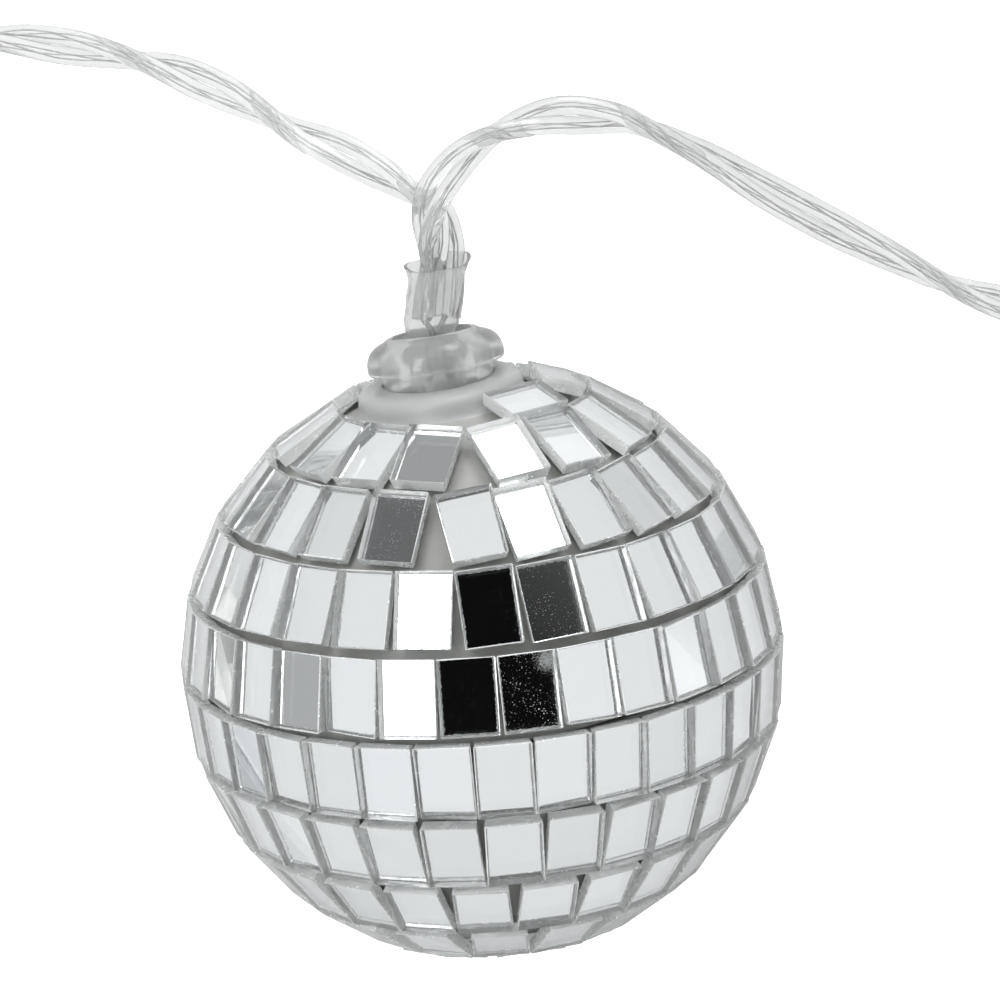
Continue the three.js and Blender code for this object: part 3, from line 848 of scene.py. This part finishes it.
def makeShell(layout):
    radius = ballLayout["shellRadius"]
    inner = radius - layout["wall"]
    seam = layout["seamHalf"]
    collar, bore, boss = (layout[key] for key in ("collarRadius", "boreRadius", "bossRadius"))
    top, floor = layout["flangeTop"], layout["bossFloor"]
    foot = math.degrees(math.acos((layout["flangeRadius"] + 0.75) / radius))
    innerTop = math.degrees(math.acos(boss / inner))
    upper = arcPoints(0, 0, radius, seam, foot, 30)
    upper += layout["flangeSide"] + layout["flangeShoulder"] + [(5.4, top), (collar, top + 0.02)]
    upper += [(collar, 23.4), (bore, 23.1), (bore, floor), (boss, floor)]
    upper += arcPoints(0, 0, inner, innerTop, seam, 30)
    piece = turned("upperShell", upper, 96, closed=True)
    cover(piece, shellPlastic, flangePlastic)
    for polygon in piece.data.polygons:
        middle = polygon.center / mm
        onFlange = middle.z > 21.9 and math.hypot(middle.x, middle.y) < 7.2
        polygon.material_index = 1 if onFlange else 0
    piece.data.transform(neckMatrix)
    settle(piece, "ball", "shell_plastic", "shell_upper")

    outside = arcPoints(0, 0, radius, -90, -seam, 36)
    outside[0] = (0, -radius)
    inside = arcPoints(0, 0, inner, -12, -90, 32)
    inside[-1] = (0, -inner)
    outer = inner - layout["spigotGap"]
    rise = layout["spigotRise"]
    within = outer - layout["spigotWall"]
    spigot = [(outer, -0.15), (outer, rise), (within, rise), (within, -layout["spigotRoot"])]
    piece = turned("lowerShell", outside + spigot + inside, 96, neckMatrix)
    cover(piece, shellPlastic)
    settle(piece, "ball", "shell_plastic", "shell_lower")


makeShell(shellLayout)
print("shell made")


# frosted grommet: a fat soft button-shaped lip, a narrower neck and a tube down through the boss

grommetLayout = {
    "tubeRadius": 4.55,
    "lipRadius": 5.6,
    "lipBase": 24.9,
    "lipCorner": 0.35,
    # the lip's side, its top and the edge of its hole, by radius and height
    "lipSide": [(5.6, 25.6), (5.58, 25.9), (5.5, 26.25), (5.33, 26.6), (5.1, 26.9), (4.8, 27.16)],
    "lipTop": [(4.4, 27.36), (4.02, 27.5), (3.78, 27.63), (3.6, 27.77), (3.45, 27.8)],
    "lipHole": [(3.3, 27.72), (3.22, 27.5), (3.2, 27.0), (3.18, 24.5)],
    "boreRadius": 3.1,
    "boreFrom": 21.5,
    "snapTop": 20.6,
    "snapRadius": 5.3,
    "snapLength": 2.2,
    "unevenSide": 0.03,  # how much the soft lip swells and sinks
    "unevenTop": 0.06,
    "leanFrom": 24.2,
    "lean": 6.5,  # the soft lip leans back by this much, in degrees
}

frostedPlastic, nodes, links, shader = newMaterial(
    "frostedPlastic", IOR=1.46, Transmission_Weight=0.84
)
cloud = noiseTexture(nodes, links, 190, 5)
colourFrom(nodes, links, shader, cloud, (0.91, 0.925, 0.915), (0.98, 0.985, 0.98))
roughnessFrom(nodes, links, shader, cloud, 0.08, 0.24)
dents = noiseTexture(nodes, links, 240, 3)
addBump(nodes, links, shader, dents, 0.12, 0.0003)


def makeGrommet(layout):
    tube, bore, snap = (layout[key] for key in ("tubeRadius", "boreRadius", "snapRadius"))
    base, corner, top = layout["lipBase"], layout["lipCorner"], layout["snapTop"]
    bottom = top - layout["snapLength"]
    points = [(bore, bottom), (tube, bottom), (snap, top - 1), (snap, top), (tube, top)]
    points += [(tube, base - 0.15), (tube + 0.12, base), (5.0, base)]
    points += arcPoints(layout["lipRadius"] - corner, base + corner, corner, -90, 0, 6)
    points += layout["lipSide"] + layout["lipTop"] + layout["lipHole"]
    points.append((bore, layout["boreFrom"]))
    piece = turned("neckGrommet", points, 72, closed=True)
    pivot = Vector((0, 0, layout["leanFrom"] * mm))
    for vertex in piece.data.vertices:
        if vertex.co.z > (base - 0.3) * mm:
            flat = Vector((vertex.co.x, vertex.co.y, 0)).normalized()
            vertex.co += flat * noise.noise(vertex.co * 260) * layout["unevenSide"] * mm
            lift = noise.noise(vertex.co * 180 + Vector((3, 1, 2)))
            vertex.co.z += lift * layout["unevenTop"] * mm
        share = easeBetween(vertex.co.z / mm, layout["leanFrom"] - 0.4, base - 0.1)
        turn = Matrix.Rotation(-math.radians(layout["lean"]) * share, 3, "X")
        vertex.co = pivot + turn @ (vertex.co - pivot)
    piece.data.transform(neckMatrix)
    cover(piece, frostedPlastic)
    settle(piece, "neck_grommet", "frosted_plastic", "grommet")


makeGrommet(grommetLayout)
print("grommet made")


# lamp: shrunk sleeve over the joints, and the metal inside it

sleeveLayout = {
    "wall": 0.3,
    "start": 21.8,
    "end": 33.3,
    # its outer radius by height
    "profile": [
        (21.8, 2.45), (26.5, 2.1), (27.6, 2.04), (28.4, 2.3), (30.5, 2.32), (32, 2.34), (33, 2.5),
        (33.3, 2.65),
    ],
    "lumps": 0.16,
    "flare": 0.16,
    "endWave": 0.1,  # how unevenly its end is cut
    "endDip": 0.35,
}

milkySleeve, nodes, links, shader = newMaterial("milkySleeve", IOR=1.36, Transmission_Weight=0.82)
cloud = noiseTexture(nodes, links, 260, 4)
colourFrom(nodes, links, shader, cloud, (0.94, 0.948, 0.942), (0.985, 0.99, 0.986))
roughnessFrom(nodes, links, shader, cloud, 0.02, 0.1)
wrinkle = noiseTexture(nodes, links, 420, 3)
addBump(nodes, links, shader, wrinkle, 0.4, 0.0003)

dullMetal, nodes, links, shader = newMaterial("dullMetal", Roughness=0.4, Metallic=1.0)
stain = noiseTexture(nodes, links, 800, 3)
colourFrom(nodes, links, shader, stain, (0.12, 0.12, 0.11), (0.5, 0.5, 0.48))
addBump(nodes, links, shader, stain, 0.4, 0.0001)

clearLens, nodes, links, shader = newMaterial(
    "clearLens",
    Base_Color=(0.97, 0.975, 0.97, 1),
    Roughness=0.02,
    IOR=1.52,
    Transmission_Weight=1.0,
)
flow = noiseTexture(nodes, links, 200, 1)
addBump(nodes, links, shader, flow, 0.05, 0.0002)


def radiusAt(profile, height):
    # the radius eases over from each point of the profile to the next
    for (low, before), (high, after) in zip(profile, profile[1:]):
        if height <= high:
            return before + (after - before) * easeBetween(height, low, high)
    return profile[-1][1]


def makeSleeve(layout):
    start, end = layout["start"], layout["end"]
    steps = 48
    heights = [start + (end - start) * step / steps for step in range(steps + 1)]
    outside = [(radiusAt(layout["profile"], height), height) for height in heights]
    inside = [(radius - layout["wall"], height) for radius, height in reversed(outside)]
    piece = turned("shrunkSleeve", outside + inside, 56, closed=True)
    for vertex in piece.data.vertices:
        height = vertex.co.z / mm
        along = (height - start) / (end - start)
        flat = Vector((vertex.co.x, vertex.co.y, 0)).normalized()
        around = math.atan2(vertex.co.y, vertex.co.x)
        place = Vector((math.cos(around), math.sin(around), along * 7)) * 1.3
        lumps = noise.noise(place) * layout["lumps"] * easeBetween(along, 0.4, 0.6)
        toLeft = max(-math.cos(around), 0)
        toFront = max(-math.sin(around), 0)
        flare = layout["flare"] * toLeft * easeBetween(along, 0.9, 1.0)
        vertex.co += flat * (lumps + flare) * mm
        wave = math.sin(around * 2 + 0.8) + math.sin(around * 3) - toLeft
        uneven = layout["endWave"] * wave - layout["endDip"] * toFront
        vertex.co.z += uneven * easeBetween(along, 0.8, 1.0) * mm
        vertex.co += tailOffset(height) * mm
    piece.data.transform(neckMatrix)
    cover(piece, milkySleeve)
    settle(piece, "lamp", "milky_sleeve", "shrink_sleeve")


lensLayout = {
    "radius": 2.5,
    "domeCentre": 14.8,
    "rimRadius": 2.75,
    "rimBottom": 20.2,
    "rimTop": 21.2,
}


def makeLens(layout):
    radius, centre, rim = (layout[key] for key in ("radius", "domeCentre", "rimRadius"))
    bottom, top = layout["rimBottom"], layout["rimTop"]
    dome = arcPoints(0, centre, radius, -90, 0, 14)
    dome[0] = (0, centre - radius)
    body = [(radius, bottom), (rim, bottom + 0.05), (rim, top - 0.05), (rim - 0.05, top), (0, top)]
    piece = turned("ledLens", dome + body, 48, neckMatrix)
    cover(piece, clearLens)
    settle(piece, "lamp", "lens_plastic", "led_lens")


legLayout = {
    "radius": 0.25,
    "spacing": 0.25,
    "crimpFrom": 9,  # which of a leg's points its crimp starts at, and which it leans to
    "crimpTo": 13,
    # the two legs come together above the lens and part again into the crimps
    "routes": [
        [
            (-1.27, 0, 21.2), (-1.2, 0.02, 23), (-0.75, 0.2, 25), (-0.1, 0.3, 26.9),
            (0.1, 0.3, 27.7), (-0.5, 0.35, 29.0),
        ],
        [
            (1.27, 0, 21.2), (1.25, 0.02, 23), (1.0, 0.2, 25), (0.7, 0.3, 26.9),
            (0.62, 0.3, 27.7), (1.42, 0.4, 29.0),
        ],
    ],
    "crimpOutline": [
        (0.2, 0), (0.38, 0), (0.44, 0.1), (0.44, 0.35), (0.34, 0.5), (0.34, 0.75), (0.44, 0.9),
        (0.44, 1.2), (0.38, 1.3), (0.2, 1.3),
    ],
}


def makeLegs(layout):
    for number, route in enumerate(layout["routes"], 1):
        points = smoothRoute(route, layout["spacing"])
        line = [neckMatrix @ (point * mm) / mm for point in points]
        leg = tubeAlong(f"ledLeg{number}", line, layout["radius"], 3, dullMetal)
        settle(leg, "lamp", "tinned_metal", f"led_leg_{number}")
        low, high = line[layout["crimpFrom"]], line[layout["crimpTo"]]
        lean = (high - low).to_track_quat("Z", "Y").to_matrix().to_4x4()
        place = Matrix.Translation(low * mm) @ lean
        crimp = turned(f"crimpFerrule{number}", layout["crimpOutline"], 20, place, closed=True)
        cover(crimp, dullMetal)
        settle(crimp, "lamp", "tinned_metal", f"crimp_ferrule_{number}")


makeSleeve(sleeveLayout)
makeLens(lensLayout)
makeLegs(legLayout)
print("lamp made")


# the pieces outside the camera's view keep their CAD shapes: tie, end cap and plug

whitePlastic, nodes, links, shader = newMaterial("whitePlastic", Base_Color=(0.85, 0.85, 0.83, 1))
grain = noiseTexture(nodes, links, 1400, 3)
roughnessFrom(nodes, links, shader, grain, 0.28, 0.48)
addBump(nodes, links, shader, grain, 0.15, 0.0001)

plugMetal, nodes, links, shader = newMaterial(
    "plugMetal", Base_Color=(0.72, 0.73, 0.74, 1), Metallic=1.0
)
stretch = nodes.new("ShaderNodeMapping")
stretch.inputs["Scale"].default_value = (3000, 120, 3000)
links.new(objectCoordinates(nodes), stretch.inputs["Vector"])
brushing = noiseTexture(nodes, links, 1.0, 2, 0.5, stretch.outputs["Vector"])
roughnessFrom(nodes, links, shader, brushing, 0.15, 0.36)

contactGold, nodes, links, shader = newMaterial("contactGold", Roughness=0.25, Metallic=1.0)
wear = noiseTexture(nodes, links, 1500, 2)
colourFrom(nodes, links, shader, wear, (0.72, 0.5, 0.2), (0.88, 0.68, 0.34))

plugMaterials = {
    "plug_strain_relief": whitePlastic,
    "plug_body": whitePlastic,
    "plug_tongue": whitePlastic,
    "coil_tie": whitePlastic,
    "plug_shell": plugMetal,
}
plugMaterials.update({f"plug_contact_{number}": contactGold for number in range(1, 5)})
for name, material in plugMaterials.items():
    cover(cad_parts[name], material)
cover(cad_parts["run_on_end_cap"], milkySleeve)

print("plug, tie and end cap finished")


# table, light and surroundings

studio = {
    "surround": 0.86,  # how bright the room is round the camera
    "surroundFar": 0.66,  # and far from it
    "surroundFades": (62, 112),  # from the one to the other between these degrees away
    "tableSize": 6,  # in metres
    "tableSeen": 1.0,  # how bright the table is to the camera
    "tableThrough": 0.25,  # through clear pieces
    "tableGlow": 0.0,  # and in what is reflected
    "cardGlow": 6.0,
    "cardSoftness": 2,
    # round patches of another brightness: degrees right of the camera and above it, radius,
    # softness and level
    "patches": [
        (-37, 53.5, 7, 2, 0.15),
        (27, 25, 6, 3, 0.1),
        (-26, 86.5, 8, 3, 0.37),
        (-77, -16, 5, 2, 0.45),
        (105, 3, 6, 3, 0.3),
        (88, -6, 1.5, 4, 1.1),
    ],
    # white cards: degrees right and above, and radius
    "cards": [(-29, 20, 6), (-30, 3, 7), (-32, -14, 6), (17, 66, 9), (12, 78, 8), (9, 89, 7)],
    "darkPlace": (7, 4),  # the dark camera over the ball
    "darkInner": 25.0,
    "darkOuter": 31.0,
    "darkLevel": 0.004,
    "keyPlace": (-16, 36),
    "keyDistance": 1.2,  # in metres
    "keySize": 0.8,
    "keyPower": 4.0,
}


def makeTable():
    deselect()
    bpy.ops.mesh.primitive_plane_add(size=studio["tableSize"])
    table = bpy.context.object
    table.name = "table"
    material, nodes, links, shader = newMaterial("tableTop", Roughness=0.6)
    grain = noiseTexture(nodes, links, 60, 3)
    colourFrom(nodes, links, shader, grain, (0.7, 0.7, 0.7), (0.74, 0.74, 0.74))
    shader.inputs["Emission Color"].default_value = (1, 1, 1, 1)
    path = nodes.new("ShaderNodeLightPath").outputs
    bounced = combine(nodes, links, "ADD", path["Glossy Depth"], path["Diffuse Depth"])
    through = mapRange(nodes, links, bounced, 0, 1, studio["tableThrough"], studio["tableGlow"])
    seen = combine(nodes, links, "MULTIPLY", path["Is Camera Ray"], studio["tableSeen"])
    glow = combine(nodes, links, "MAXIMUM", seen, through)
    links.new(glow, shader.inputs["Emission Strength"])
    cover(table, material)


def cameraTurned(right, up):
    # a direction so many degrees to the right of the camera's and above it, seen from the ball
    away = math.radians(math.hypot(right, up))
    aside = (cameraRight * right + cameraUp * up).normalized()
    return cameraBack * math.cos(away) + aside * math.sin(away)


def fadeRound(nodes, links, coordinates, direction, inner, outer):
    # 1 within the inner angle round a direction, and 0 beyond the outer one
    dot = addNode(nodes, "ShaderNodeVectorMath", operation="DOT_PRODUCT")
    links.new(coordinates, dot.inputs[0])
    dot.inputs[1].default_value = direction
    low, high = math.cos(math.radians(outer)), math.cos(math.radians(inner))
    return mapRange(
        nodes, links, dot.outputs["Value"], low, high, 0, 1, interpolation_type="SMOOTHSTEP"
    )


def grey(level):
    return (level, level * 1.005, level * 1.015, 1)


def makeSurroundings():
    world = bpy.data.worlds.new("softRoom")
    bpy.context.scene.world = world
    world.use_nodes = True
    nodes, links = world.node_tree.nodes, world.node_tree.links
    coordinates = nodes.new("ShaderNodeTexCoord").outputs["Generated"]
    nearby = fadeRound(nodes, links, coordinates, cameraBack, *studio["surroundFades"])
    colour = pick(nodes, links, nearby, grey(studio["surroundFar"]), grey(studio["surround"]))
    rounds = list(studio["patches"])
    for right, up, radius in studio["cards"]:
        rounds.append((right, up, radius, studio["cardSoftness"], studio["cardGlow"]))
    darkSoftness = studio["darkOuter"] - studio["darkInner"]
    rounds.append((*studio["darkPlace"], studio["darkInner"], darkSoftness, studio["darkLevel"]))
    for right, up, radius, softness, level in rounds:
        direction = cameraTurned(right, up)
        mask = fadeRound(nodes, links, coordinates, direction, radius, radius + softness)
        colour = pick(nodes, links, mask, colour, grey(level))
    links.new(colour, nodes["Background"].inputs["Color"])


def addSoftLight(name, direction):
    deselect()
    place = ballCentre + direction * studio["keyDistance"]
    bpy.ops.object.light_add(type="AREA", location=place)
    light = bpy.context.object
    light.name = name
    light.data.shape = "SQUARE"
    light.data.size = studio["keySize"]
    light.data.energy = studio["keyPower"]
    light.rotation_mode = "QUATERNION"
    light.rotation_quaternion = direction.to_track_quat("Z", "Y")
    light.visible_glossy = False
    light.visible_transmission = False


makeTable()
makeSurroundings()
addSoftLight("softKey", cameraTurned(*studio["keyPlace"]))
bpy.context.scene.view_settings.view_transform = "Standard"
print("table and light set")
